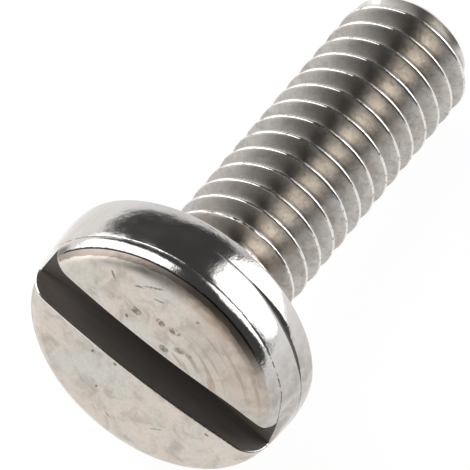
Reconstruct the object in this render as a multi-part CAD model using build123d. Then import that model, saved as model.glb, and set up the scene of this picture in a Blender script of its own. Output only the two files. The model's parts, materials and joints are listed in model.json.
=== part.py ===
from build123d import *
import os
from math import atan2, ceil, cos, degrees, floor, radians, sin, sqrt, tan

# Driving dimensions in millimetres and degrees, for a slotted machine screw with a rounded, nearly flat head
screw_length = 12.0            # from the bearing face to the tip
thread_diameter = 3.9          # over the crests
thread_pitch = 0.7
flank_angle = 60.0             # between the two flanks of a groove
crest_flat = 0.0875            # width of the flat along the crest
root_flat = 0.11               # width of the floor of the groove
crest_place = 3.824            # from the head to a crest, along the lowest line of the lying screw
tip_chamfer = 0.44             # length and depth of the chamfer at the tip

neck_step = 0.175              # the neck, which is the bare blank, lies this far under the crests
neck_length = 0.9
crest_rise = 0.5               # over this length the crests grow out of the neck
root_fall = 0.95               # over this length the groove reaches its full depth
under_head_radius = 0.25       # reach of the smooth curve between the bearing face and the neck

head_diameter = 7.88
head_height = 2.4              # from the bearing face to the middle of the crowned top
head_taper = 2.0               # lean of the head's side towards the top
crown_rise = 0.22              # the middle of the top stands this far above the corner of side and top
rim_radius = 0.72              # round between the side and the top
bearing_edge_break = 0.06      # chamfer all round between the side and the bearing face

slot_width = 1.46
slot_depth = 1.14              # of the lowest place of its floor, below the middle of the top
slot_saw_radius = 34.0         # the floor is hollow along its length, as a round saw leaves it
slot_low = 0.3                 # the floor's lowest place lies this far from the middle
slot_offset = 0.34             # the slot was cut this far above the axis, with the screw lying down
slot_lean = 16.8               # turn of the slot from level, with the screw lying down

# Worked out from the driving dimensions
thread_radius = thread_diameter / 2
neck_radius = thread_radius - neck_step
head_radius = head_diameter / 2
flank_slope = tan(radians(flank_angle / 2))
thread_depth = (thread_pitch - crest_flat - root_flat) / 2 / flank_slope
root_radius = thread_radius - thread_depth
slot_floor = slot_depth - head_height

# Cutting shapes, and pieces that are joined, reach this far past the surfaces that they meet
spare = 0.05

# The groove is swept in this many pieces for each turn
pieces_per_turn = 3


def turned(section):
    """A solid turned about the screw's axis from its half section"""
    return revolve(section, axis=Axis.Z)


def head_section():
    """Half section of the head, the neck under it and the cone where the groove runs out"""
    side = head_height - crown_rise
    top_radius = head_radius - side * tan(radians(head_taper))
    crown_radius = (top_radius**2 + crown_rise**2) / (2 * crown_rise)
    half_way = top_radius / 2
    crown_fall = crown_radius - sqrt(crown_radius**2 - half_way**2)
    top_middle = (0, -head_height)
    top_corner = (top_radius, -side)
    bearing_corner = (head_radius, 0)
    under_head_start = (neck_radius + under_head_radius, 0)
    under_head_end = (neck_radius, under_head_radius)
    core_end = neck_length + root_fall + spare
    core_radius = root_radius - spare * (neck_radius - root_radius) / root_fall

    with BuildSketch(Plane.XZ) as section:
        with BuildLine():
            ThreePointArc(top_middle, (half_way, crown_fall - head_height), top_corner)
            Polyline(top_corner, bearing_corner, under_head_start)
            Bezier(under_head_start, (neck_radius, 0), under_head_end)
            Polyline(under_head_end, (neck_radius, neck_length), (core_radius, core_end))
            Polyline((core_radius, core_end), (0, core_end), top_middle)
        make_face()
        fillet(section.vertices().sort_by_distance(top_corner)[0], radius=rim_radius)
        chamfer(section.vertices().sort_by_distance(bearing_corner)[0], length=bearing_edge_break)
    return section.sketch


def make_head():
    """The head with its driver's slot, which a disc cuts right across it"""
    saw = Rot(0, 90, 0) * Cylinder(slot_saw_radius, slot_width)
    head = turned(head_section()) - Pos(-slot_offset, -slot_low, slot_floor - slot_saw_radius) * saw
    return Rot(0, 0, slot_lean) * head


def rod_section():
    """Half section of the shank before its thread is cut: crests rise out of the neck, and the tip is chamfered"""
    rise_slope = (thread_radius - neck_radius) / crest_rise
    start_radius = root_radius - 2 * spare
    start = neck_length - (neck_radius - start_radius) / rise_slope
    with BuildSketch(Plane.XZ) as section:
        with BuildLine():
            Polyline(
                (0, start),
                (start_radius, start),
                (thread_radius, neck_length + crest_rise),
                (thread_radius, screw_length - tip_chamfer),
                (thread_radius - tip_chamfer, screw_length),
                (0, screw_length),
                close=True,
            )
        make_face()
    return section.sketch


def make_grooves():
    """The thread's groove, as parts of a turn set end to end along a right-hand helix past both ends of the rod"""
    outer_radius = thread_radius + spare
    outer_half = root_flat / 2 + (outer_radius - root_radius) * flank_slope
    with BuildSketch(Plane.XZ) as section:
        with BuildLine():
            Polyline(
                (root_radius, -root_flat / 2),
                (outer_radius, -outer_half),
                (outer_radius, outer_half),
                (root_radius, root_flat / 2),
                close=True,
            )
        make_face()
    rise = thread_pitch / pieces_per_turn
    part_turn = Edge.make_helix(thread_pitch, rise, root_radius)
    piece = sweep(section.sketch, path=part_turn, is_frenet=True).solid()
    # on the lowest line the middle of a groove lies half a pitch before the crest
    groove_place = crest_place - thread_pitch / 2
    first = -ceil((groove_place + thread_pitch) / rise)
    last = ceil((screw_length - groove_place + thread_pitch) / rise)
    pieces = []
    for step in range(first, last):
        turned_on = Rot(0, 0, step * 360 / pieces_per_turn) * piece
        pieces.append(Pos(0, 0, groove_place + step * rise) * turned_on)
    return pieces


def make_screw():
    """The whole screw on the Z axis, its bearing face at zero and its tip upwards"""
    threaded = turned(rod_section()).cut(*make_grooves())
    return (threaded + make_head()).solid()


def rest_tilt():
    """Slope of the axis, in degrees, when the head's edge and the last full crest both touch the floor"""
    full_crests = floor((screw_length - tip_chamfer + crest_flat / 2 - crest_place) / thread_pitch)
    last_crest = crest_place + full_crests * thread_pitch
    crest_end = min(last_crest + crest_flat / 2, screw_length - tip_chamfer)
    lean = radians(head_taper)
    drop = head_radius - bearing_edge_break * sin(lean) - thread_radius
    run = crest_end + bearing_edge_break * cos(lean)
    return degrees(atan2(drop, run))


def laid_down(screw):
    """The screw at rest: tip towards +X, on the floor at zero height, centred on the origin"""
    tilted = Rot(0, 90 + rest_tilt(), 0) * screw
    box = tilted.bounding_box()
    return Pos(-box.center().X, -box.center().Y, -box.min.Z) * tilted


screw = laid_down(make_screw())
os.makedirs("parts", exist_ok=True)
export_step(screw, "parts/screw.step")
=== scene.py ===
import json
from math import acos, asin, atan2, ceil, cos, exp, hypot, pi, radians, sin, sqrt

import bmesh
import bpy
import numpy as np
from mathutils import Matrix, Vector, noise


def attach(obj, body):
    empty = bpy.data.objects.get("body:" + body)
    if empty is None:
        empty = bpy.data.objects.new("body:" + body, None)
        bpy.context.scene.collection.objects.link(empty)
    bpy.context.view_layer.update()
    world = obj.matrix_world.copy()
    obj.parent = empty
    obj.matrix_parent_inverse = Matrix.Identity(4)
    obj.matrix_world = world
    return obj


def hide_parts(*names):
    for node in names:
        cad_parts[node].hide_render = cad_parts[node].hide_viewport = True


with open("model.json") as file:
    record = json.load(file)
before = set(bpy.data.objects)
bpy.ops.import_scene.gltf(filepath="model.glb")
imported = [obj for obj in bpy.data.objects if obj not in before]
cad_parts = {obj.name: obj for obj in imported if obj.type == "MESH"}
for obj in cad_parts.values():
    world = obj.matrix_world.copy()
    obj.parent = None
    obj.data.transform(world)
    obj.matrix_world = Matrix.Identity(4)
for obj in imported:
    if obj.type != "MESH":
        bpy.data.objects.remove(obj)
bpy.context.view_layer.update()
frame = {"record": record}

MM = 0.001
EPS = 1e-6
DEGREES = 180 / pi

# All lengths below are millimetres in the screw's own frame. Its origin is the middle of the bearing
# face, z runs from head to tip, x points down as the screw lies, and y is level. Turns start at x.
mounts = {m["name"]: m for m in frame["record"]["mounts"]}
AXIS = Vector(mounts["bearing_face"]["axis"]).normalized()
LEVEL = Vector((0, 1, 0))
DOWN = LEVEL.cross(AXIS).normalized()
slot_mount = Vector(mounts["driver_slot"]["pos_m"])
face_mount = Vector(mounts["bearing_face"]["pos_m"])
BEARING = slot_mount + AXIS * (face_mount - slot_mount).dot(AXIS)

# Head
HEAD_R = 3.933                 # of the side at its widest
HEAD_H = 2.4                   # from the bearing face to the middle of the top
WIDEST_Z = -0.5
BARREL_R = 7.6                 # curve of the side from its widest place towards the rim
BARREL_LOW_R = 2.3             # and towards the bearing face
SIDE_TOP = -1.6                # the side ends near here
RIM_R = 0.72                   # round between side and top
CROWN_RISE = 0.22
CROWN_EDGE_R = 3.86
SHOULDER = radians(35)         # turn of the rim at which its polish ends
LINE_1_Z = -1.56               # the two lines that the forging tools left round the side
LINE_2_Z = -0.7
EDGE_BREAK = 0.09              # round between the side and the bearing face
EDGE_STEPS = 4
BEARING_RINGS = (3.7, 3.2, 2.7, 2.3)
TOP_Z = -2.0                   # everything beyond this height belongs to the top

# Slot
SLOT_HALF = 0.73               # half its width
SLOT_OFFSET = 0.34
SLOT_LEAN = radians(16.8)
SLOT_FLOOR = -1.26             # height of the floor's lowest place
SLOT_SAW_R = 34.0
SLOT_LOW = 0.3                 # the lowest place lies this far from the middle
LIP = 0.05                     # round along the upper edges
END_LIP = 0.14                 # round between the floor and the side
LIP_STEPS = 4
WALL_ROWS = 6
SLOT_CELLS = 14
END_TRIES = 4                  # steps that close in on the place where the floor meets the side
ROLLED = 0.33                  # a corner was pushed this far into the slot
SEAM = 0.0006                  # rows that the slot's floor cuts off lie this far apart

# The lobes beside the slot: distance of the slot's wall from the axis, side, and number of cells
LOBES = {
    "B": (SLOT_HALF - SLOT_OFFSET, 1, 88),
    "A": (SLOT_HALF + SLOT_OFFSET, -1, 76),
}
RIM_STEPS = 14
SHOULDER_STEPS = 12
CROWN_STEPS = 44

# Shank
LENGTH = 12.0
CREST_R = 1.95
ROOT_R = 1.515
NECK_R = 1.775
NECK_END = 0.9
CREST_RISE = 0.5               # over this length the crests grow out of the neck
ROOT_FALL = 0.95               # over this length the groove reaches its full depth
UNDER_HEAD = 0.25              # round between the bearing face and the neck
PITCH = 0.7
CREST_PLACE = 3.824            # from the head to a crest, along the lowest line
CHAMFER = 0.44

# Half section of a crest: distance along the pitch from its middle, and height against the crest
CREST_SHAPE = (
    (0.0, 0.0), (0.018, 0.0), (0.036, -0.001), (0.052, -0.02), (0.09, -0.08), (0.14, -0.165),
    (0.235, -0.33), (0.265, -0.378), (0.295, -0.413), (0.325, -0.431),
)

# Rings of the tip's end face: radius, and height against the tip
TIP_RINGS = ((1.44, 0.0), (1.2, -0.01), (0.9, -0.02), (0.6, -0.03), (0.3, -0.035))
TIP_HOLLOW = -0.035

# Marks on the top: place, half length, half width, direction in degrees, depth
MARKS = (
    (-2.08, 0.40, 0.16, 0.10, 100, 0.022), (-2.04, -0.80, 0.15, 0.10, 95, 0.018),
    (-2.12, -0.36, 0.12, 0.09, 115, 0.014), (-1.24, -0.56, 0.13, 0.09, 95, 0.015),
    (-1.44, -1.00, 0.14, 0.09, 90, 0.015), (-1.40, -1.30, 0.08, 0.06, 90, 0.010),
    (-2.76, -1.40, 0.06, 0.04, 30, 0.014), (-2.92, 1.24, 0.10, 0.03, 150, 0.016),
    (0.32, 0.80, 0.05, 0.04, 0, 0.014), (0.28, 1.50, 0.07, 0.04, 50, 0.014),
    (1.30, -2.10, 0.06, 0.04, 110, 0.014), (-3.18, 0.02, 0.26, 0.03, 70, 0.026),
    (-2.98, 0.42, 0.12, 0.024, 75, 0.018), (-2.84, -0.20, 0.14, 0.024, 85, 0.018),
    (-1.75, 0.65, 0.05, 0.04, 0, 0.012), (2.10, -0.60, 0.18, 0.018, 60, 0.012),
    (2.55, 0.90, 0.10, 0.018, 140, 0.012), (1.60, 1.30, 0.06, 0.03, 20, 0.012),
)

MARK_END = 6                   # squared distance from a mark, in its own sizes, where its dent ends
MARK_RAGGED = 0.4              # share by which a dent's depth varies

# Wear: depths in millimetres
SIDE_WAVES = 0.0012
SIDE_GRAIN = 0.0007
TOP_WAVES = 0.004
LINE_1_DEPTH = 0.014
LINE_WIDTH = 0.018
LINE_2_DEPTH = 0.010
WEDGE_DEPTH = 0.035            # more, where line 2 is thick
WEDGE_WIDTH = 0.07
BROKEN_POLISH = 0.005          # specks beside line 1
BROKEN_WIDTH = 0.09
CREST_BAND = 0.03              # wear reaches this far down a crest
CREST_EDGE = 0.006
CREST_NICKS = 0.004
CREST_GRAIN = 0.001
CREST_ROUGH = 0.03
CREST_ROUGH_END = (1.8, 2.8)   # between these heights the rougher crests end

# The rolled corner: along the slot, its height, and how far it reaches on both sides of the wall
ROLLED_ALONG = (2.0, 3.7)
ROLLED_HEIGHT = (-2.4, -1.95, -1.4, -0.8)
ROLLED_REACH = (-0.9, -0.05, 0.05, 0.9)

# Edges that turn by more than this stay sharp in the shading
SHARP_TURN = radians(40)

# Sections of the turn in degrees: where something starts, is full, ends and is gone
LINE_1_SHOWN = (112, 130, 262, 276)
LINE_2_THIN = (188, 200, 282, 296)
LINE_2_THICK = (205, 232, 246, 268)
CREST_FLAT = (172, 180, 194, 200)
FACE_TAN = (196, 212, 256, 280)
FACE_STREAKS = (190, 215, 250, 275)
SHADE_RING_TURN = (95, 112, 222, 252)
RIM_HIGHLIGHT_TURN = (84, 94, 112, 128)
SHOULDER_REFLECTION_TURN = (122, 130, 228, 250)
CORNER_REFLECTION_TURN = (119, 126, 129, 134)
LINE_2_WIDE_REFLECTION = (208, 238, 246, 266)
LINE_2_REFLECTION_TURN = (192, 206, 280, 294)
THREAD_SHADE_TURN = (118, 140, 182, 198)
THREAD_HIGHLIGHT_TURN = (188, 203, 213, 231)

# Colours of the steel
FACE_WARM = (0.71, 0.635, 0.56)
FACE_COOL = (0.65, 0.63, 0.57)
STAIN = (0.43, 0.375, 0.32)
GRIME = (0.34, 0.30, 0.27)
DENT = (0.17, 0.145, 0.12)
SPECK = (0.16, 0.13, 0.11)
FACE_HIGHLIGHT = (0.86, 0.82, 0.77)
TAN = (0.45, 0.36, 0.30)
STREAK = (0.43, 0.34, 0.275)
SHADE_RING = (0.27, 0.225, 0.195)
RIM_CLEAN = (0.66, 0.645, 0.635)
RIM_WARM = (0.62, 0.54, 0.46)
RIM_SHADE_RIGHT = (0.37, 0.335, 0.30)
RIM_HIGHLIGHT = (0.95, 0.94, 0.92)
RIM_LEFT_REFLECTION = (0.60, 0.53, 0.45)
BLACK = (0.035, 0.030, 0.028)
SLOT_LIGHT = (0.215, 0.192, 0.176)
SLOT_DARK = (0.18, 0.164, 0.152)
FLANK = (0.61, 0.59, 0.56)
FLANK_WARM = (0.54, 0.50, 0.455)
FLANK_GRIME = (0.28, 0.26, 0.24)
FLANK_MOTTLE = (0.27, 0.25, 0.235)
FLANK_SHADE = (0.18, 0.17, 0.165)
FLANK_HIGHLIGHT = (0.93, 0.86, 0.77)
NECK = (0.50, 0.40, 0.32)
TIP = (0.92, 0.90, 0.87)
CREST = (0.80, 0.78, 0.76)
CREST_WORN = (0.34, 0.32, 0.30)
UNDER_LIGHT = (0.61, 0.585, 0.555)
UNDER_DARK = (0.45, 0.41, 0.37)

# Floor: camera and mirror rays see this share of it as a glow of this strength
FLOOR_HALF = 0.6
FLOOR_COLOUR = (0.8, 0.8, 0.8, 1)
FLOOR_SHARE = 0.87
FLOOR_GLOW = 1.085

# Soft boxes by direction in degrees: where each starts, is full, ends and is gone. For each degree of
# elevation above the bend, a box's start moves in azimuth by its drift.
BOXES = (
    {"azimuth": (59, 67, 126, 134), "elevation": (-4, 4, 74, 82), "strength": 2.6, "drift": 0.7},
    {"azimuth": (-68, -61, -27, -19), "elevation": (-2, 6, 47, 56), "strength": 2.8, "drift": 0.0},
)
BEND = 40
ROOM = 0.06

# A low pale wall behind the screw, whose top edge falls from left to right as seen from the head
LOW_WALL = 0.85
LOW_WALL_TOP = 28
LOW_WALL_FALL = (24, 66)
LOW_WALL_AZIMUTH = (-22, -14, 70, 78)

# A weaker one behind the camera
NEAR_WALL_TOP = (15, 4)
NEAR_WALL_AZIMUTH = (134, 150, 166, 176)
NEAR_WALL_SHARE = 0.4

# A warm lamp behind the camera
LAMP = {"azimuth": (179, 184, 192, 197), "elevation": (1, 6, 19, 25), "strength": 3.0}
LAMP_COLOUR = (1.0, 0.86, 0.70)
ROOM_COLOUR = (1.0, 0.995, 0.985)

# The camera's place and directions in the screw's frame
EYE = (-185.176, -69.763, -144.2)
EYE_RIGHT = (-0.0884631, -0.8514663, 0.5168941)
EYE_AWAY = (0.7502200, 0.2844082, 0.5968936)
LENS = 703.57
SENSOR = 36
CLIP_NEAR = 0.02
CLIP_FAR = 10

# Numbers of the materials on the mesh
FACE, RIM, SLOT, THREAD, UNDER = range(5)


def direction(p):
    return DOWN * p[0] + LEVEL * p[1] + AXIS * p[2]


def placed(p):
    """A point of the screw's frame in the scene, in metres"""
    return BEARING + direction(p) * MM


def fade(x, low, high):
    t = min(1.0, max(0.0, (x - low) / (high - low)))
    return t * t * (3 - 2 * t)


def window(x, start, full, end, gone):
    return fade(x, start, full) * (1 - fade(x, end, gone))


def hump(x, width):
    return exp(-((x / width) ** 2))


def uneven(x, y, z):
    return noise.noise(Vector((x, y, z)))


class Skin:
    """Points and faces of one closed mesh, each face's material, and the points that wear moves"""

    def __init__(self):
        self.points = []
        self.faces = []
        self.metals = []
        self.outer = set()

    def add(self, p):
        self.points.append(tuple(float(c) for c in p))
        return len(self.points) - 1

    def circle(self, r, z, angles):
        return [self.add((r * cos(a), r * sin(a), z)) for a in angles]

    def face(self, ids, metal):
        clean = []
        for v in ids:
            if v not in clean:
                clean.append(v)
        if len(clean) > 2:
            self.faces.append(clean)
            self.metals.append(metal)

    def strip(self, a, b, metal, closed=False):
        n = len(a)
        last = n if closed else n - 1
        for k in range(last):
            m = (k + 1) % n
            self.face((a[k], a[m], b[m], b[k]), metal)

    def strips(self, bands, metal):
        for a, b in zip(bands, bands[1:]):
            self.strip(a, b, metal)


# Section of the head

def crown_and_rim():
    """Tilt at the side's top, centre of the rim arc, and the crown sphere that the arc runs into"""
    tilt = asin((WIDEST_Z - SIDE_TOP) / BARREL_R)
    top_r = HEAD_R - BARREL_R * (1 - cos(tilt))
    centre = np.array((top_r - RIM_R * cos(tilt), SIDE_TOP + RIM_R * sin(tilt)))
    crown_r = (CROWN_EDGE_R**2 + CROWN_RISE**2) / (2 * CROWN_RISE)
    crown_z = crown_r - HEAD_H
    reach = crown_r - RIM_R
    lift = sqrt(reach**2 - centre[0] ** 2)
    centre[1] = crown_z - lift
    return tilt, centre, crown_r, crown_z, atan2(lift, centre[0])


SIDE_TILT, RIM_CENTRE, CROWN_R, CROWN_Z, RIM_END = crown_and_rim()
SIDE_END_Z = RIM_CENTRE[1] - RIM_R * sin(SIDE_TILT)
SHOULDER_Z = RIM_CENTRE[1] - RIM_R * sin(SHOULDER)


def side_point(z):
    """The side is a barrel, rounder from its widest place to the bearing face than towards the rim"""
    if z > WIDEST_Z:
        return (HEAD_R - BARREL_LOW_R + sqrt(BARREL_LOW_R**2 - (z - WIDEST_Z) ** 2), z)
    stretch = (z - WIDEST_Z) * (SIDE_TOP - WIDEST_Z) / (SIDE_END_Z - WIDEST_Z)
    return (HEAD_R - BARREL_R + sqrt(BARREL_R**2 - stretch**2), z)


def rim_point(angle):
    return (RIM_CENTRE[0] + RIM_R * cos(angle), RIM_CENTRE[1] - RIM_R * sin(angle))


def crown_point(r):
    return (r, CROWN_Z - sqrt(CROWN_R**2 - r * r))


def surface_normal(p):
    """Outward normal of the head of revolution at a point on it"""
    r = hypot(p.x, p.y)
    if p.z > SIDE_END_Z:
        tilt = (WIDEST_Z - p.z) / (BARREL_LOW_R if p.z > WIDEST_Z else BARREL_R)
        nr, nz = cos(tilt), -sin(tilt)
    elif r > RIM_CENTRE[0] + RIM_R * cos(RIM_END):
        nr, nz = (r - RIM_CENTRE[0]) / RIM_R, (p.z - RIM_CENTRE[1]) / RIM_R
    else:
        nr, nz = r / CROWN_R, (p.z - CROWN_Z) / CROWN_R
    return Vector((p.x / r * nr, p.y / r * nr, nz)).normalized()


def line_heights():
    """Rows of the side between the slot's floor and the rim, dense at the upper line"""
    steps = (0.05, 0.036, 0.024, 0.012, 0.0, -0.012, -0.024, -0.036, -0.05)
    heights = [-1.34, -1.42, -1.48] + [LINE_1_Z + step for step in steps]
    return [z for z in heights if z > SIDE_END_Z + 0.005]


def side_heights():
    """Rows of the side from the rim to the bearing face's edge, dense at both lines"""
    heights = line_heights()[::-1]
    heights += list(np.linspace(SLOT_FLOOR + END_LIP + 0.07, LINE_2_Z - 0.09, 6))
    heights += list(np.linspace(LINE_2_Z - 0.06, LINE_2_Z + 0.06, 9))
    heights += list(np.linspace(LINE_2_Z + 0.09, -EDGE_BREAK, 9))
    return heights


def lobe_profile(reach):
    """Half section of a lobe, from the slot's floor to the line nearest the axis"""
    profile = [side_point(z) for z in [SLOT_FLOOR] + line_heights()]
    turns = list(np.linspace(SIDE_TILT, SHOULDER - 0.03, RIM_STEPS))
    turns += [SHOULDER - 0.012, SHOULDER, SHOULDER + 0.012]
    turns += list(np.linspace(SHOULDER + 0.04, RIM_END, SHOULDER_STEPS))
    profile += [rim_point(a) for a in turns]
    edge = sqrt(profile[-1][0] ** 2 - reach**2)
    for k in range(1, CROWN_STEPS + 1):
        y = edge * (1 - k / CROWN_STEPS)
        profile.append(crown_point(hypot(reach, y)))
    return profile


def floor_height(y):
    """Height of the slot's floor, which a round saw left hollow"""
    return SLOT_FLOOR - (y + SLOT_LOW) ** 2 / (2 * SLOT_SAW_R)


def floor_end(x, sign):
    """Where the slot's floor meets the side, in the line at x across the slot"""
    y = sign * sqrt(HEAD_R**2 - x**2)
    for step in range(END_TRIES):
        r = side_point(floor_height(y))[0]
        y = sign * sqrt(r**2 - x**2)
    return Vector((x, y, floor_height(y)))


# Head

def lobe_grid(skin, wall, side, cells):
    """Rows of one lobe's outer surface, from the slot's floor to its wall; none dips under the floor"""
    reach = wall + LIP
    turn = 0.0 if side > 0 else pi
    grid = []
    for j, (r, z) in enumerate(lobe_profile(reach)):
        half = acos(min(1.0, reach / r))
        if half < EPS:
            last = skin.add((r * cos(turn), r * sin(turn), z))
            grid.append([last] * (cells + 1))
            continue
        row = []
        for i in range(cells + 1):
            a = turn - half + 2 * half * i / cells
            lowest = floor_height(r * sin(a)) - SEAM * j
            if z > lowest or j == 0:
                r_low = side_point(lowest)[0]
                half_low = acos(min(1.0, reach / r_low))
                a = turn - half_low + 2 * half_low * i / cells
                row.append(skin.add((r_low * cos(a), r_low * sin(a), lowest)))
            else:
                row.append(skin.add((r * cos(a), r * sin(a), z)))
        grid.append(row)
    skin.outer.update(v for row in grid for v in row)
    for low, high in zip(grid, grid[1:]):
        middle = (skin.points[low[0]][2] + skin.points[high[0]][2]) / 2
        skin.strip(low, high, RIM if middle > SHOULDER_Z else FACE)
    return grid


def rounded(a, corner, b):
    """Points on the curve that rounds a corner from a to b, without a itself"""
    points = []
    for step in range(1, LIP_STEPS + 1):
        q = step / LIP_STEPS
        points.append(a * (1 - q) ** 2 + corner * (2 * q * (1 - q)) + b * q * q)
    return points


def wall_lip(skin, edge, x):
    """Bands that round a lobe's edge into the slot's wall at x, and the line where the wall starts"""
    points = [Vector(skin.points[v]) for v in edge]
    last = len(points) - 1
    bands = [edge] + [[] for step in range(LIP_STEPS)]
    wall_top = []
    for k, a in enumerate(points):
        along = (points[min(k + 1, last)] - points[max(k - 1, 0)]).normalized()
        normal = surface_normal(a)
        if k in (0, last):
            corner = floor_end(x, 1 if a.y > 0 else -1)
            inward = Vector((0, -1 if a.y > 0 else 1, 0))
        else:
            across = along.cross(normal).normalized()
            if across.x * x > 0:
                across = -across
            corner = a + across * (LIP / abs(across.x))
            inward = Vector((0, -normal.y, -normal.z)).normalized()
        corner.x = x
        top = corner + inward * LIP
        for band, p in zip(bands[1:], rounded(a, corner, top)):
            band.append(skin.add(p))
        wall_top.append(top)
    skin.strips(bands, RIM)
    return bands, wall_top


def slot_wall(skin, bands, wall_top, x):
    """The slot's wall from its lip to the floor; returns the line of its foot"""
    edge = [Vector(skin.points[v]) for v in bands[0]]
    length = [0.0]
    for a, b in zip(edge, edge[1:]):
        length.append(length[-1] + (b - a).length)
    start, end = wall_top[0].y, wall_top[-1].y
    foot = []
    for reached in length:
        y = start + (end - start) * reached / length[-1]
        foot.append(Vector((x, y, floor_height(y))))
    rows = [bands[-1]]
    for q in range(1, WALL_ROWS + 1):
        row = [rows[0][0]]
        for top, low in zip(wall_top[1:-1], foot[1:-1]):
            row.append(skin.add(top.lerp(low, q / WALL_ROWS)))
        row.append(rows[0][-1])
        rows.append(row)
    skin.strips(rows, SLOT)
    return rows[-1]


def slot_floor(skin, foot_b, foot_a):
    """Columns of the slot's floor, from the foot of one wall to the foot of the other"""
    columns = [foot_b]
    for q in range(1, SLOT_CELLS):
        column = []
        for b, a in zip(foot_b, foot_a):
            p = Vector(skin.points[b]).lerp(Vector(skin.points[a]), q / SLOT_CELLS)
            column.append(skin.add(p))
        columns.append(column)
    columns.append(foot_a)
    skin.strips(columns, SLOT)
    return columns


def floor_lip(skin, columns, pick, sign):
    """Bands that round one end of the slot's floor over into the side"""
    inner = [column[pick] for column in columns]
    bands = [[] for step in range(LIP_STEPS)] + [inner]
    for v in inner:
        b = Vector(skin.points[v])
        corner = floor_end(b.x, sign)
        r, z = side_point(corner.z + END_LIP)
        k = r / hypot(corner.x, corner.y)
        a = Vector((corner.x * k, corner.y * k, z))
        bands[0].append(skin.add(a))
        for band, p in zip(bands[1:-1], rounded(a, corner, b)):
            band.append(skin.add(p))
    skin.outer.update(bands[0])
    skin.strips(bands, RIM)
    return bands


def join_lips(skin, wall_bands, k, floor_bands, q):
    """The corner between the lip of a wall and the lip of the floor"""
    for m in range(LIP_STEPS):
        wall = (wall_bands[m][k], wall_bands[m + 1][k])
        floor = (floor_bands[m + 1][q], floor_bands[m][q])
        skin.face(wall + floor, RIM)


def head_side(skin, top_ring):
    """Side under the slot, and bearing face; returns the face's inmost ring and the ring's angles"""
    angles = []
    for v in top_ring:
        x, y, z = skin.points[v]
        a = float(np.arctan2(y, x))
        while angles and a < angles[-1]:
            a += 2 * pi
        angles.append(a)
    top = [skin.points[v][2] for v in top_ring]
    previous = top_ring
    for j, height in enumerate(side_heights()):
        ring = []
        for a, highest in zip(angles, top):
            r, z = side_point(max(height, highest + SEAM * (j + 1)))
            ring.append(skin.add((r * cos(a), r * sin(a), z)))
        skin.outer.update(ring)
        skin.strip(previous, ring, RIM, closed=True)
        previous = ring
    edge_r = side_point(-EDGE_BREAK)[0]
    for step in range(1, EDGE_STEPS + 1):
        b = pi / 2 * step / EDGE_STEPS
        ring = skin.circle(edge_r - EDGE_BREAK * (1 - cos(b)), EDGE_BREAK * (sin(b) - 1), angles)
        skin.strip(previous, ring, RIM, closed=True)
        previous = ring
    for r in BEARING_RINGS:
        ring = skin.circle(r, 0.0, angles)
        skin.strip(previous, ring, UNDER, closed=True)
        previous = ring
    return previous, angles


def build_head(skin):
    """Head of revolution with the slot cut out and its edges rounded"""
    grids = {}
    for lobe, (wall, side, cells) in LOBES.items():
        grids[lobe] = lobe_grid(skin, wall, side, cells)
    lips = {}
    feet = {}
    for lobe, (wall, side, cells) in LOBES.items():
        grid = grids[lobe]
        edge = [row[0] for row in grid] + [row[-1] for row in grid[-2::-1]]
        lips[lobe], wall_top = wall_lip(skin, edge, side * wall)
        feet[lobe] = slot_wall(skin, lips[lobe], wall_top, side * wall)
    # lobe A's edge runs the other way round, so its foot is turned to match lobe B's
    columns = slot_floor(skin, feet["B"], feet["A"][::-1])
    ends = {}
    for sign, pick in ((-1, 0), (1, -1)):
        bands = floor_lip(skin, columns, pick, sign)
        join_lips(skin, lips["B"], pick, bands, 0)
        join_lips(skin, lips["A"], -1 - pick, bands, SLOT_CELLS)
        ends[sign] = bands[0]
    top_ring = grids["B"][0] + ends[1] + grids["A"][0] + ends[-1][::-1]
    return head_side(skin, top_ring)


# Wear of the head

def mark_depth(x, y):
    depth = 0.0
    for mark_x, mark_y, length, width, lean, deep in MARKS:
        c, s = cos(radians(lean)), sin(radians(lean))
        along = ((x - mark_x) * c + (y - mark_y) * s) / length
        across = ((y - mark_y) * c - (x - mark_x) * s) / width
        d = along**2 + across**2
        if d < MARK_END:
            depth += deep * exp(-d) * (1 + MARK_RAGGED * uneven(x * 5, y * 5, 1.0))
    return depth


def side_relief(x, y, z):
    """Unevenness of side and rim, and the grooves of the two forging lines"""
    turn = atan2(y, x) % (2 * pi) * DEGREES
    push = SIDE_WAVES * (1 + uneven(x * 3, y * 3, z * 3))
    push += SIDE_GRAIN * (1 + uneven(x * 9, y * 9, z * 9))
    off = z - LINE_1_Z - 0.02 * uneven(x * 5, y * 5, 3.0) - 0.008 * uneven(x * 15, y * 15, 4.0)
    shown = 0.3 + 0.7 * window(turn, *LINE_1_SHOWN)
    broken = max(0.0, 0.5 + 1.3 * uneven(x * 7, y * 7, 9.0))
    push += LINE_1_DEPTH * shown * broken * hump(off, LINE_WIDTH)
    specks = 1 + uneven(x * 16, y * 16, z * 16)
    push += BROKEN_POLISH * shown * specks * hump(off, BROKEN_WIDTH)
    off = z - LINE_2_Z - 0.010 * uneven(x * 2, y * 2, 5.0)
    thin = window(turn, *LINE_2_THIN)
    thick = window(turn, *LINE_2_THICK)
    depth = LINE_2_DEPTH * thin + WEDGE_DEPTH * thick
    push += depth * hump(off, LINE_WIDTH + WEDGE_WIDTH * thick)
    return push


def head_relief(x, y, z):
    """How far wear and unevenness push the head's surface in at a point"""
    push = 0.0
    if z > SHOULDER_Z - 0.05:
        push += side_relief(x, y, z)
    if z < TOP_Z:
        push += mark_depth(x, y) + TOP_WAVES * (1 + uneven(x * 0.8, y * 0.8, 2.0))
    return push


def roughen(skin):
    """Moves the head's outer vertices in along the surface normal by their relief"""
    for k in sorted(skin.outer):
        x, y, z = skin.points[k]
        push = head_relief(x, y, z)
        if push:
            n = surface_normal(Vector((x, y, z)))
            skin.points[k] = (x - n.x * push, y - n.y * push, z - n.z * push)


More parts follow.
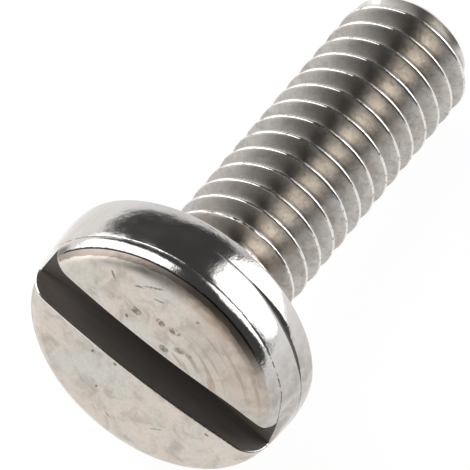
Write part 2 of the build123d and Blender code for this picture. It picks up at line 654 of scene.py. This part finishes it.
def roll_corner(skin):
    """One corner at the slot's end was rolled over into the slot when it was cut"""
    wall = -SLOT_OFFSET - SLOT_HALF
    for k, (x, y, z) in enumerate(skin.points):
        share = fade(-y, *ROLLED_ALONG) * window(z, *ROLLED_HEIGHT) * window(x - wall, *ROLLED_REACH)
        skin.points[k] = (x + ROLLED * share, y, z)


def turn_about_axis(skin, lean):
    c, s = cos(lean), sin(lean)
    skin.points = [(x * c - y * s, x * s + y * c, z) for x, y, z in skin.points]


# Shank

def thread_profile():
    """Offsets along the pitch and radii of one turn, from crest to crest"""
    half = [(u, CREST_R + d) for u, d in CREST_SHAPE]
    return half + [(PITCH / 2, ROOT_R)] + [(PITCH - u, r) for u, r in half[:0:-1]]


def envelope(z):
    """Radius of the blank at a height: under-head curve, neck, rise of the crests, chamfer"""
    if z < UNDER_HEAD:
        return NECK_R + UNDER_HEAD - sqrt(max(0.0, UNDER_HEAD**2 - (UNDER_HEAD - z) ** 2))
    if z < NECK_END:
        return NECK_R
    rise = NECK_R + (CREST_R - NECK_R) * (z - NECK_END) / CREST_RISE
    fall = CREST_R - (z - (LENGTH - CHAMFER))
    return min(CREST_R, rise, fall)


def core(z):
    """Floor of the groove where it runs out under the head"""
    return NECK_R - (z - NECK_END) * (NECK_R - ROOT_R) / ROOT_FALL


def crest_wear(r, turn, z):
    """Small nicks along the crests, a worn edge, and rougher crests close to the head"""
    if r < CREST_R - CREST_BAND:
        return 0.0
    edge = 0.0
    if CREST_R - 0.002 < r < CREST_R - EPS:
        edge = CREST_EDGE * (1 - window(turn * DEGREES % 360, *CREST_FLAT))
    at = Vector((cos(turn), sin(turn), z)) * 2.0
    nicks = CREST_NICKS * max(0.0, noise.noise(at * 1.5)) + CREST_GRAIN * (1 + noise.noise(at * 5.0))
    near_head = 1 - fade(z, *CREST_ROUGH_END)
    rough = CREST_ROUGH * near_head * max(0.0, 0.3 + noise.noise(at * 6.0))
    return edge + nicks + rough


def shank_radius(r_thread, turn, z):
    r = min(r_thread - crest_wear(r_thread, turn, z), envelope(z))
    if z < NECK_END + ROOT_FALL:
        r = max(r, min(core(z), envelope(z)))
    return r


def build_shank(skin, under_ring, angles):
    """The shank in rows that follow the thread; rows past either end shrink to its first or last ring"""
    profile = thread_profile()
    per_turn = len(profile)
    first = -ceil((CREST_PLACE + 2 * PITCH) / PITCH) - 1
    last = ceil((LENGTH - CREST_PLACE) / PITCH) + 2
    bottom = skin.circle(envelope(0), 0.0, angles)
    skin.strip(under_ring, bottom, UNDER, closed=True)
    top = skin.circle(envelope(LENGTH), LENGTH, angles)
    grid = []
    for turn in range(first, last):
        for u, r_thread in profile:
            row = []
            for i, a in enumerate(angles):
                z = CREST_PLACE + turn * PITCH + u + PITCH * a / (2 * pi)
                if z <= EPS:
                    row.append(bottom[i])
                elif z >= LENGTH - EPS:
                    row.append(top[i])
                else:
                    r = shank_radius(r_thread, a, z)
                    row.append(skin.add((r * cos(a), r * sin(a), z)))
            grid.append(row)
    skin.strips(grid, THREAD)
    # the last column joins the first one a turn further on
    ahead = grid[per_turn:]
    for k in range(len(ahead) - 1):
        skin.face((grid[k][-1], ahead[k][0], ahead[k + 1][0], grid[k + 1][-1]), THREAD)
    previous = top
    for r, hollow in TIP_RINGS:
        ring = skin.circle(r, LENGTH + hollow, angles)
        skin.strip(previous, ring, UNDER, closed=True)
        previous = ring
    centre = skin.add((0, 0, LENGTH + TIP_HOLLOW))
    skin.strip(previous, [centre] * len(angles), UNDER, closed=True)


def finished_mesh(skin):
    """A smooth mesh with sharp edges marked, which keeps each vertex's place in the screw's frame"""
    mesh = bpy.data.meshes.new("screw_body")
    mesh.from_pydata([placed(p) for p in skin.points], [], skin.faces)
    mesh.update()
    place = mesh.attributes.new("screw_mm", "FLOAT_VECTOR", "POINT")
    place.data.foreach_set("vector", np.array(skin.points, dtype=np.float32).ravel())
    mesh.polygons.foreach_set("material_index", skin.metals)
    bm = bmesh.new()
    bm.from_mesh(mesh)
    loose = [v for v in bm.verts if not v.link_faces]
    bmesh.ops.delete(bm, geom=loose, context="VERTS")
    bmesh.ops.recalc_face_normals(bm, faces=bm.faces)
    for f in bm.faces:
        f.smooth = True
    for e in bm.edges:
        if len(e.link_faces) == 2 and e.calc_face_angle(0) > SHARP_TURN:
            e.smooth = False
    bm.to_mesh(mesh)
    bm.free()
    return mesh


def make_screw():
    skin = Skin()
    ring, angles = build_head(skin)
    roll_corner(skin)
    turn_about_axis(skin, SLOT_LEAN)
    roughen(skin)
    build_shank(skin, ring, [a + SLOT_LEAN for a in angles])
    piece = bpy.data.objects.new("screw_body", finished_mesh(skin))
    bpy.context.collection.objects.link(piece)
    return piece


# Node trees

class Graph:
    """Helpers for a node tree; any value may be a number, a tuple or a socket"""

    def __init__(self, tree):
        self.nodes = tree.nodes
        self.links = tree.links

    def put(self, socket, value):
        if isinstance(value, bpy.types.NodeSocket):
            self.links.new(value, socket)
        else:
            socket.default_value = value

    def math(self, operation, a, b=0.0):
        node = self.nodes.new("ShaderNodeMath")
        node.operation = operation
        self.put(node.inputs[0], a)
        self.put(node.inputs[1], b)
        return node.outputs[0]

    def plus(self, a, b):
        return self.math("ADD", a, b)

    def minus(self, a, b):
        return self.math("SUBTRACT", a, b)

    def times(self, a, b):
        return self.math("MULTIPLY", a, b)

    def most(self, a, b):
        return self.math("MAXIMUM", a, b)

    def whole_turn(self, degrees):
        """The same direction in degrees from 0 to 360"""
        return self.plus(degrees, self.times(self.math("LESS_THAN", degrees, 0.0), 360.0))

    def fade(self, value, low, high, out_low=0.0, out_high=1.0):
        node = self.nodes.new("ShaderNodeMapRange")
        node.interpolation_type = "SMOOTHSTEP"
        self.put(node.inputs["Value"], value)
        limits = (("From Min", low), ("From Max", high), ("To Min", out_low), ("To Max", out_high))
        for name, limit in limits:
            self.put(node.inputs[name], limit)
        return node.outputs["Result"]

    def band(self, value, start, full, end, gone):
        return self.times(self.fade(value, start, full), self.fade(value, end, gone, 1.0, 0.0))

    def noise(self, vector, scale, detail=2.0, rough=0.5, distortion=0.0):
        node = self.nodes.new("ShaderNodeTexNoise")
        self.put(node.inputs["Vector"], vector)
        values = (("Scale", scale), ("Detail", detail), ("Roughness", rough), ("Distortion", distortion))
        for name, value in values:
            self.put(node.inputs[name], value)
        return node.outputs[0]

    def mixed(self, factor, a, b):
        node = self.nodes.new("ShaderNodeMix")
        node.data_type = "RGBA"
        self.put(node.inputs[0], factor)
        self.put(node.inputs[6], (*a, 1) if isinstance(a, tuple) else a)
        self.put(node.inputs[7], (*b, 1) if isinstance(b, tuple) else b)
        return node.outputs[2]

    def vector(self, x, y, z):
        node = self.nodes.new("ShaderNodeCombineXYZ")
        for k, value in enumerate((x, y, z)):
            self.put(node.inputs[k], value)
        return node.outputs[0]

    def apart(self, vector):
        node = self.nodes.new("ShaderNodeSeparateXYZ")
        self.put(node.inputs[0], vector)
        return node.outputs[0], node.outputs[1], node.outputs[2]

    def bump(self, height, distance, strength=1.0, under=None):
        node = self.nodes.new("ShaderNodeBump")
        self.put(node.inputs["Height"], height)
        self.put(node.inputs["Distance"], distance * MM)
        self.put(node.inputs["Strength"], strength)
        if under is not None:
            self.put(node.inputs["Normal"], under)
        return node.outputs[0]


class Steel(Graph):
    """A metal with the screw's own millimetre coordinates at hand; its first colour is the flat one"""

    def __init__(self, name, colour, roughness):
        self.mat = bpy.data.materials.new(name)
        self.mat.use_nodes = True
        super().__init__(self.mat.node_tree)
        self.shader = self.nodes["Principled BSDF"]
        self.set("Base Color", (*colour, 1))
        self.set("Metallic", 1)
        self.set("Roughness", roughness)
        place = self.nodes.new("ShaderNodeAttribute")
        place.attribute_name = "screw_mm"
        self.at = place.outputs["Vector"]
        self.x, self.y, self.z = self.apart(self.at)
        self.r = self.math("SQRT", self.plus(self.times(self.x, self.x), self.times(self.y, self.y)))
        self.turn = self.math("ARCTAN2", self.y, self.x)
        self.degrees = self.whole_turn(self.times(self.turn, DEGREES))

    def set(self, name, value):
        self.put(self.shader.inputs[name], value)

    def around(self, section):
        """One in a section of the turn, zero outside"""
        return self.band(self.degrees, *section)


# Materials

def dents(m):
    """One inside the marks of the top, zero outside, with ragged edges"""
    ragged = m.times(m.minus(m.noise(m.at, 5.0, 3, 0.6), 0.5), 2.2)
    total = 0.0
    for mark_x, mark_y, length, width, lean, _ in MARKS:
        c, s = cos(radians(lean)), sin(radians(lean))
        x = m.minus(m.x, mark_x)
        y = m.minus(m.y, mark_y)
        along = m.plus(m.times(x, c / length), m.times(y, s / length))
        across = m.minus(m.times(y, c / width), m.times(x, s / width))
        d = m.plus(m.times(along, along), m.times(across, across))
        total = m.most(total, m.fade(m.plus(d, ragged), 1.9, 0.9))
    return total


def face_steel():
    """The crowned top: mottled, stained and dented, browner towards its right, with a painted highlight
    on the left and a ring of painted shade inside the shoulder
    """
    m = Steel("steel_face", (0.64, 0.585, 0.53), 0.4)
    clouds = m.noise(m.at, 1.6, 4, 0.65, 0.6)
    colour = m.mixed(m.fade(m.noise(m.at, 0.55, 3, 0.6), 0.4, 0.6), FACE_WARM, FACE_COOL)
    colour = m.mixed(m.times(m.fade(clouds, 0.46, 0.7), 0.55), colour, STAIN)
    colour = m.mixed(m.fade(m.noise(m.at, 9.0, 3, 0.7), 0.3, 0.75, 0.0, 0.22), colour, GRIME)
    hollow = m.times(dents(m), m.fade(m.noise(m.at, 8.0, 3, 0.6), 0.32, 0.54))
    colour = m.mixed(m.times(hollow, 0.8), colour, DENT)
    colour = m.mixed(m.fade(m.noise(m.at, 17.0, 2, 0.5), 0.70, 0.76, 0.0, 0.55), colour, SPECK)
    # painted highlight: just inside the shoulder the face is painted a little brighter on the left
    bright = m.times(m.band(m.r, 3.2, 3.45, 3.58, 3.62), m.fade(m.degrees, 190, 165))
    colour = m.mixed(m.times(bright, 0.3), colour, FACE_HIGHLIGHT)
    tan = m.times(m.around(FACE_TAN), m.fade(m.r, 1.5, 2.8))
    colour = m.mixed(m.times(tan, 0.35), colour, TAN)
    streaks = m.noise(m.vector(m.times(m.r, 5.0), m.times(m.turn, 1.2), 0.0), 1.0, 3, 0.6)
    streaks = m.times(m.fade(streaks, 0.5, 0.66), m.around(FACE_STREAKS))
    colour = m.mixed(m.times(streaks, 0.8), colour, STREAK)
    # painted shade: a dark ring just inside the shoulder, over part of the turn
    wavy = m.plus(m.r, m.times(m.minus(m.noise(m.at, 2.5, 3, 0.6), 0.5), 0.12))
    ring = m.times(m.band(wavy, 3.60, 3.625, 3.80, 3.86), m.around(SHADE_RING_TURN))
    colour = m.mixed(m.times(ring, 0.85), colour, SHADE_RING)
    m.set("Base Color", colour)
    m.set("Roughness", m.fade(clouds, 0.3, 0.7, 0.30, 0.44))
    swirl = m.math("SINE", m.plus(m.times(m.r, 26.0), m.times(m.noise(m.at, 1.2), 9.0)))
    waves = m.bump(m.times(swirl, m.fade(m.y, 0.2, -1.6)), 0.0012)
    grain = m.bump(m.noise(m.at, 16.0, 4, 0.7), 0.008, 0.7, waves)
    m.set("Normal", m.bump(m.noise(m.at, 3.2, 2, 0.5), 0.012, 0.7, grain))
    return m.mat


def black_lines_and_painted_reflection(m):
    """One along the two forging lines and on the rim's inner edge, zero outside; the black on the inner
    edge and on line 2 is painted dark reflection
    """
    jag = m.times(m.minus(m.noise(m.at, 8.0, 3, 0.7), 0.5), 0.05)
    height = m.plus(m.z, jag)
    start = SHOULDER_Z - 0.03
    # painted dark reflection: a black line along the rim's inner edge, over part of the turn
    edge = m.band(height, start, SHOULDER_Z - 0.015, SHOULDER_Z + 0.035, SHOULDER_Z + 0.06)
    edge = m.times(edge, m.around(SHOULDER_REFLECTION_TURN))
    corner = m.times(m.around(CORNER_REFLECTION_TURN), m.band(height, start, SHOULDER_Z, -1.80, -1.68))
    edge = m.most(edge, m.times(corner, 0.75))
    upper = m.band(height, LINE_1_Z - 0.026, LINE_1_Z - 0.014, LINE_1_Z + 0.010, LINE_1_Z + 0.022)
    upper = m.times(upper, m.fade(m.noise(m.at, 5.0, 2, 0.6), 0.36, 0.46))
    # painted dark reflection: line 2 drawn black over part of the turn, wider where it is thick
    off = m.math("ABSOLUTE", m.plus(m.minus(m.z, LINE_2_Z), m.times(jag, 0.5)))
    off = m.minus(off, m.times(m.around(LINE_2_WIDE_REFLECTION), 0.05))
    lower = m.times(m.fade(off, 0.016, 0.002), m.around(LINE_2_REFLECTION_TURN))
    return m.most(edge, m.times(m.most(upper, lower), 0.85))


def rim_steel():
    """The polished rim and side: bright, with grime, painted shade on the right, a painted highlight and
    a painted warm reflection on the left, and black lines, partly painted dark reflection
    """
    m = Steel("steel_rim", (0.66, 0.645, 0.63), 0.12)
    spots = m.noise(m.at, 11.0, 4, 0.75)
    colour = m.mixed(m.fade(spots, 0.60, 0.74, 0.0, 0.5), RIM_CLEAN, GRIME)
    warm = m.noise(m.at, 1.1, 3, 0.6)
    colour = m.mixed(m.fade(warm, 0.52, 0.7, 0.0, 0.35), colour, RIM_WARM)
    mottle = m.noise(m.at, 2.4, 4, 0.65, 0.4)
    # painted shade: the side is painted darker and mottled towards its right
    right = m.times(m.fade(m.degrees, 228, 262), m.fade(mottle, 0.3, 0.65, 0.35, 0.9))
    colour = m.mixed(right, colour, RIM_SHADE_RIGHT)
    # painted highlight: part of the rim on the left is painted near white
    pale = m.around(RIM_HIGHLIGHT_TURN)
    colour = m.mixed(m.times(pale, 0.85), colour, RIM_HIGHLIGHT)
    # painted reflection: the rim is painted warm beige and mottled towards its left, outside the
    # highlight
    left = m.times(m.fade(m.degrees, 158, 128), m.minus(1.0, pale))
    colour = m.mixed(m.times(left, m.fade(mottle, 0.3, 0.7, 0.1, 0.7)), colour, RIM_LEFT_REFLECTION)
    # black along forging line 1, and painted dark reflection on the inner edge and on line 2
    black = black_lines_and_painted_reflection(m)
    m.set("Base Color", m.mixed(black, colour, BLACK))
    m.set("Roughness", m.plus(m.fade(warm, 0.3, 0.7, 0.08, 0.17), m.times(black, 0.3)))
    grain = m.bump(m.noise(m.at, 14.0, 4, 0.7), 0.0035, 0.8)
    m.set("Normal", m.bump(m.noise(m.at, 2.6, 3, 0.6), 0.014, 0.7, grain))
    return m.mat


def slot_steel():
    """The slot: dull and dark, with the saw's streaks along it"""
    m = Steel("steel_slot", (0.20, 0.182, 0.17), 0.65)
    m.set("Metallic", 0.35)
    m.set("Specular IOR Level", 0.2)
    across = m.plus(m.times(m.x, cos(SLOT_LEAN)), m.times(m.y, sin(SLOT_LEAN)))
    along = m.minus(m.times(m.y, cos(SLOT_LEAN)), m.times(m.x, sin(SLOT_LEAN)))
    stretched = m.vector(m.times(across, 9.0), m.times(along, 0.7), m.times(m.z, 9.0))
    streaks = m.noise(stretched, 1.0, 3, 0.6)
    m.set("Base Color", m.mixed(m.fade(streaks, 0.35, 0.7), SLOT_LIGHT, SLOT_DARK))
    m.set("Normal", m.bump(streaks, 0.01, 0.6))
    return m.mat


def thread_steel():
    """The thread: brushed flanks, bright crests, painted shade along one side, a painted highlight along
    a stripe, and a tip that the chamfer left bright
    """
    m = Steel("steel_thread", (0.62, 0.595, 0.565), 0.5)
    fine = m.noise(m.at, 10.0, 4, 0.7)
    mottle = m.noise(m.at, 4.5, 4, 0.7, 0.3)
    colour = m.mixed(m.fade(m.noise(m.at, 1.3, 3, 0.6), 0.4, 0.65), FLANK, FLANK_WARM)
    colour = m.mixed(m.fade(m.z, 3.2, 0.4, 0.0, 0.5), colour, NECK)
    colour = m.mixed(m.fade(fine, 0.35, 0.75, 0.0, 0.3), colour, FLANK_GRIME)
    # painted shade darkens the flanks along one side, and a painted highlight makes them bright and warm
    # along a stripe
    colour = m.mixed(m.around(THREAD_SHADE_TURN), colour, m.mixed(0.55, colour, FLANK_SHADE))
    # painted highlight: a bright warm stripe along the flanks, over part of the turn
    painted_stripe = m.times(m.around(THREAD_HIGHLIGHT_TURN), m.fade(m.noise(m.at, 3.0, 3, 0.6), 0.3, 0.6, 0.55, 1.0))
    colour = m.mixed(m.times(painted_stripe, 0.85), colour, FLANK_HIGHLIGHT)
    colour = m.mixed(m.fade(mottle, 0.45, 0.68, 0.0, 0.45), colour, FLANK_MOTTLE)
    tip_start = LENGTH - CHAMFER
    colour = m.mixed(m.fade(m.z, tip_start - 0.04, tip_start + 0.06, 0.0, 0.6), colour, TIP)
    crest = m.fade(m.r, CREST_R - CREST_BAND, CREST_R - 0.012)
    worn = m.mixed(m.fade(m.noise(m.at, 6.0, 3, 0.7), 0.55, 0.68), CREST, CREST_WORN)
    m.set("Base Color", m.mixed(crest, colour, worn))
    m.set("Roughness", m.fade(crest, 0.0, 1.0, 0.36, 0.18))
    m.set("Anisotropic", m.fade(crest, 0.0, 1.0, 0.85, 0.0))
    m.set("Tangent", m.vector(*AXIS))
    pitches = m.math("DIVIDE", m.minus(m.z, m.times(m.turn, PITCH / (2 * pi))), PITCH)
    rolled = m.noise(m.vector(m.times(pitches, 22.0), m.times(m.turn, 2.0), 0.0), 1.0, 2, 0.6)
    grain = m.bump(rolled, 0.004, 0.6)
    m.set("Normal", m.bump(fine, 0.008, 0.6, grain))
    return m.mat


def under_steel():
    """The bearing face and the tip's end: plain and a little rough"""
    m = Steel("steel_under", (0.60, 0.57, 0.54), 0.38)
    fine = m.noise(m.at, 8.0, 3, 0.7)
    m.set("Base Color", m.mixed(m.fade(fine, 0.35, 0.75), UNDER_LIGHT, UNDER_DARK))
    m.set("Normal", m.bump(fine, 0.01, 0.6))
    return m.mat


# Studio

def make_floor():
    """Pale floor: camera and mirror rays see it as near white, and it keeps a light part of the shadow"""
    mesh = bpy.data.meshes.new("floor")
    h = FLOOR_HALF
    mesh.from_pydata([(-h, -h, 0), (h, -h, 0), (h, h, 0), (-h, h, 0)], [], [(0, 1, 2, 3)])
    floor_piece = bpy.data.objects.new("floor", mesh)
    bpy.context.collection.objects.link(floor_piece)
    mat = bpy.data.materials.new("floor_white")
    mat.use_nodes = True
    g = Graph(mat.node_tree)
    g.nodes.clear()
    out = g.nodes.new("ShaderNodeOutputMaterial")
    diffuse = g.nodes.new("ShaderNodeBsdfDiffuse")
    diffuse.inputs["Color"].default_value = FLOOR_COLOUR
    glow = g.nodes.new("ShaderNodeEmission")
    glow.inputs["Strength"].default_value = FLOOR_GLOW
    path = g.nodes.new("ShaderNodeLightPath")
    seen = g.most(path.outputs["Is Camera Ray"], path.outputs["Is Glossy Ray"])
    seen = g.most(seen, path.outputs["Is Transmission Ray"])
    mix = g.nodes.new("ShaderNodeMixShader")
    g.put(mix.inputs[0], g.times(seen, FLOOR_SHARE))
    g.links.new(diffuse.outputs[0], mix.inputs[1])
    g.links.new(glow.outputs[0], mix.inputs[2])
    g.links.new(mix.outputs[0], out.inputs["Surface"])
    mesh.materials.append(mat)


def wall_light(g, azimuth, full_turn, elevation):
    """The low pale walls, and everything below the horizon"""
    over_top = g.minus(elevation, g.fade(azimuth, *LOW_WALL_FALL, LOW_WALL_TOP, 0.0))
    far = g.times(g.fade(over_top, 2, -2), g.band(azimuth, *LOW_WALL_AZIMUTH))
    near = g.fade(elevation, *NEAR_WALL_TOP, 0.0, NEAR_WALL_SHARE)
    near = g.times(near, g.band(full_turn, *NEAR_WALL_AZIMUTH))
    low = g.most(g.most(far, near), g.fade(elevation, 1, -3))
    return g.plus(ROOM, g.times(low, LOW_WALL))


def make_world():
    """A dark studio with white soft boxes, a warm lamp and low pale walls, laid out by direction"""
    world = bpy.data.worlds.new("studio")
    bpy.context.scene.world = world
    world.use_nodes = True
    g = Graph(world.node_tree)
    g.nodes.clear()
    out = g.nodes.new("ShaderNodeOutputWorld")
    room = g.nodes.new("ShaderNodeBackground")
    place = g.nodes.new("ShaderNodeTexCoord")
    x, y, z = g.apart(place.outputs["Generated"])
    azimuth = g.times(g.math("ARCTAN2", y, x), DEGREES)
    full_turn = g.whole_turn(azimuth)
    elevation = g.times(g.math("ARCSINE", z), DEGREES)
    above_bend = g.most(g.minus(elevation, BEND), 0.0)
    level = wall_light(g, azimuth, full_turn, elevation)
    for box in BOXES:
        start, full, end, gone = box["azimuth"]
        moved = g.plus(azimuth, g.times(above_bend, box["drift"]))
        shape = g.times(g.fade(moved, start, full), g.fade(azimuth, end, gone, 1.0, 0.0))
        shape = g.times(shape, g.band(elevation, *box["elevation"]))
        level = g.most(level, g.times(shape, box["strength"]))
    lamp = g.times(g.band(full_turn, *LAMP["azimuth"]), g.band(elevation, *LAMP["elevation"]))
    level = g.most(level, g.times(lamp, LAMP["strength"]))
    g.put(room.inputs["Strength"], level)
    g.put(room.inputs["Color"], g.mixed(lamp, ROOM_COLOUR, LAMP_COLOUR))
    g.links.new(room.outputs[0], out.inputs["Surface"])


def make_camera():
    right = direction(EYE_RIGHT).normalized()
    away = direction(EYE_AWAY).normalized()
    up = right.cross(away)
    camera = bpy.data.cameras.new("camera")
    camera.sensor_width = SENSOR
    camera.lens = LENS
    camera.clip_start = CLIP_NEAR
    camera.clip_end = CLIP_FAR
    holder = bpy.data.objects.new("camera", camera)
    turn = Matrix((right, up, -away)).transposed().to_4x4()
    holder.matrix_world = Matrix.Translation(placed(EYE)) @ turn
    bpy.context.collection.objects.link(holder)
    bpy.context.scene.camera = holder


make_camera()
make_world()
make_floor()
piece = make_screw()
for mat in (face_steel(), rim_steel(), slot_steel(), thread_steel(), under_steel()):
    piece.data.materials.append(mat)
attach(piece, "root")
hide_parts("screw")

bpy.context.scene.view_settings.view_transform = "Standard"
